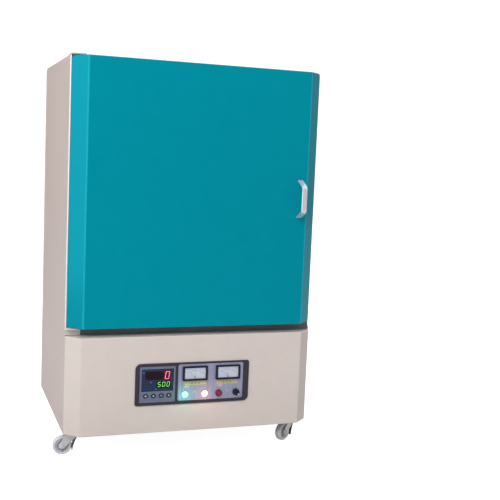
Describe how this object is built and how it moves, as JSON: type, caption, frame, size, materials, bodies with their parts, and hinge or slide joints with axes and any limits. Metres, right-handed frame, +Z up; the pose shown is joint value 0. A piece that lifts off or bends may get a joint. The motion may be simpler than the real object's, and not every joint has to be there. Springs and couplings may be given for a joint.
{
  "type": "kiln for pottery",
  "caption": "Front-loading electric pottery kiln: insulated chamber with a side-hung chamfered door, over a control plinth on swivel castors.",
  "frame": {"origin": "on the floor, under the middle of the cabinet footprint", "axes": "+X to the kiln's right as seen from the front, +Y from the door to the rear panel, +Z up"},
  "size_m": [0.7254, 0.5963, 1.0493],
  "materials": {
    "cabinet_paint": "satin",
    "door_paint": "gloss",
    "zinc_plate": "satin",
    "bare_steel": "matte",
    "bright_handle": "polished",
    "fibre_board": "matte",
    "hearth_ceramic": "matte",
    "heating_wire": "matte",
    "castor_wheel": "satin",
    "bezel_plastic": "satin",
    "instrument_face": "satin",
    "controller_plastic": "satin",
    "display_window": "gloss",
    "black_plastic": "satin",
    "needle_red": "matte",
    "green_lens": "gloss",
    "amber_lens": "gloss",
    "red_button": "gloss"
  },
  "bodies": {
    "cabinet": {"base_frame": "bare_steel", "base_pan": "zinc_plate", "plinth_cover": "cabinet_paint", "left_side_panel": "cabinet_paint", "right_side_panel": "cabinet_paint", "top_cover": "cabinet_paint", "rear_panel": "cabinet_paint", "front_frame": "cabinet_paint", "chamber_deck": "cabinet_paint", "inner_casing": "zinc_plate", "casing_stand": "bare_steel", "insulation_floor": "fibre_board", "insulation_left": "fibre_board", "insulation_right": "fibre_board", "insulation_roof": "fibre_board", "insulation_rear": "fibre_board", "hearth_plate": "hearth_ceramic", "heating_element_left": "heating_wire", "heating_element_right": "heating_wire", "thermocouple": "zinc_plate", "cable_gland": "black_plastic", "hinge_bracket_top": "cabinet_paint", "hinge_bracket_bottom": "cabinet_paint", "catch_magnet": "black_plastic", "panel_bezel": "bezel_plastic", "instrument_plate": "instrument_face", "controller_case": "controller_plastic", "controller_window": "display_window", "ammeter": "black_plastic", "voltmeter": "black_plastic", "green_lamp": "green_lens", "amber_lamp": "amber_lens", "power_module": "bare_steel", "castor_plate_front_left": "zinc_plate", "castor_plate_front_right": "zinc_plate", "castor_plate_rear_left": "zinc_plate", "castor_plate_rear_right": "zinc_plate"},
    "door": {"door_skin": "door_paint", "door_back_plate": "cabinet_paint", "door_insulation": "fibre_board", "door_gasket": "fibre_board", "door_handle": "bright_handle", "door_hinge_block_top": "zinc_plate", "door_hinge_block_bottom": "zinc_plate"},
    "controller_key_1": {"controller_key_1": "black_plastic"},
    "controller_key_2": {"controller_key_2": "black_plastic"},
    "controller_key_3": {"controller_key_3": "black_plastic"},
    "controller_key_4": {"controller_key_4": "black_plastic"},
    "red_push_button": {"red_push_button": "red_button"},
    "selector_knob": {"selector_knob": "black_plastic"},
    "ammeter_needle": {"ammeter_needle": "needle_red"},
    "voltmeter_needle": {"voltmeter_needle": "needle_red"},
    "castor_fork_front_left": {"castor_fork_front_left": "zinc_plate"},
    "castor_wheel_front_left": {"castor_wheel_front_left": "castor_wheel"},
    "castor_fork_front_right": {"castor_fork_front_right": "zinc_plate"},
    "castor_wheel_front_right": {"castor_wheel_front_right": "castor_wheel"},
    "castor_fork_rear_left": {"castor_fork_rear_left": "zinc_plate"},
    "castor_wheel_rear_left": {"castor_wheel_rear_left": "castor_wheel"},
    "castor_fork_rear_right": {"castor_fork_rear_right": "zinc_plate"},
    "castor_wheel_rear_right": {"castor_wheel_rear_right": "castor_wheel"}
  },
  "joints": [
    {"name": "door_swing", "type": "hinge", "parent": "cabinet", "child": "door", "pos_m": [-0.3295, -0.2295, 0.6985], "axis": [0, 0, -1], "range_deg": [0, 120]},
    {"name": "controller_key_1_press", "type": "slide", "parent": "cabinet", "child": "controller_key_1", "axis": [0, 1, 0], "range_m": [0, 0.001], "stiffness_N_per_m": 500},
    {"name": "controller_key_2_press", "type": "slide", "parent": "cabinet", "child": "controller_key_2", "axis": [0, 1, 0], "range_m": [0, 0.001], "stiffness_N_per_m": 500},
    {"name": "controller_key_3_press", "type": "slide", "parent": "cabinet", "child": "controller_key_3", "axis": [0, 1, 0], "range_m": [0, 0.001], "stiffness_N_per_m": 500},
    {"name": "controller_key_4_press", "type": "slide", "parent": "cabinet", "child": "controller_key_4", "axis": [0, 1, 0], "range_m": [0, 0.001], "stiffness_N_per_m": 500},
    {"name": "red_button_press", "type": "slide", "parent": "cabinet", "child": "red_push_button", "axis": [0, 1, 0], "range_m": [0, 0.002], "stiffness_N_per_m": 600},
    {"name": "selector_turn", "type": "hinge", "parent": "cabinet", "child": "selector_knob", "pos_m": [0.1177, -0.265, 0.169], "axis": [0, 1, 0], "range_deg": [0, 90]},
    {"name": "ammeter_needle_swing", "type": "hinge", "parent": "cabinet", "child": "ammeter_needle", "pos_m": [-0.0005, -0.267, 0.2148], "axis": [0, 1, 0], "range_deg": [0, 90], "stiffness_Nm_per_rad": 0.0001},
    {"name": "voltmeter_needle_swing", "type": "hinge", "parent": "cabinet", "child": "voltmeter_needle", "pos_m": [0.0922, -0.267, 0.2148], "axis": [0, 1, 0], "range_deg": [0, 90], "stiffness_Nm_per_rad": 0.0001},
    {"name": "castor_swivel_front_left", "type": "hinge", "parent": "cabinet", "child": "castor_fork_front_left", "pos_m": [-0.3115, -0.182, 0.06], "axis": [0, 0, 1], "continuous": true},
    {"name": "castor_roll_front_left", "type": "hinge", "parent": "castor_fork_front_left", "child": "castor_wheel_front_left", "pos_m": [-0.3374, -0.17973, 0.025], "axis": [-0.0872, -0.9962, 0], "continuous": true},
    {"name": "castor_swivel_front_right", "type": "hinge", "parent": "cabinet", "child": "castor_fork_front_right", "pos_m": [0.3115, -0.182, 0.06], "axis": [0, 0, 1], "continuous": true},
    {"name": "castor_roll_front_right", "type": "hinge", "parent": "castor_fork_front_right", "child": "castor_wheel_front_right", "pos_m": [0.28969, -0.19616, 0.025], "axis": [0.5446, -0.8387, 0], "continuous": true},
    {"name": "castor_swivel_rear_left", "type": "hinge", "parent": "cabinet", "child": "castor_fork_rear_left", "pos_m": [-0.3115, 0.212, 0.06], "axis": [0, 0, 1], "continuous": true},
    {"name": "castor_roll_rear_left", "type": "hinge", "parent": "castor_fork_rear_left", "child": "castor_wheel_rear_left", "pos_m": [-0.28707, 0.22089, 0.025], "axis": [-0.342, 0.9397, 0], "continuous": true},
    {"name": "castor_swivel_rear_right", "type": "hinge", "parent": "cabinet", "child": "castor_fork_rear_right", "pos_m": [0.3115, 0.212, 0.06], "axis": [0, 0, 1], "continuous": true},
    {"name": "castor_roll_rear_right", "type": "hinge", "parent": "castor_fork_rear_right", "child": "castor_wheel_rear_right", "pos_m": [0.3374, 0.21427, 0.025], "axis": [-0.0872, 0.9962, 0], "continuous": true}
  ]
}
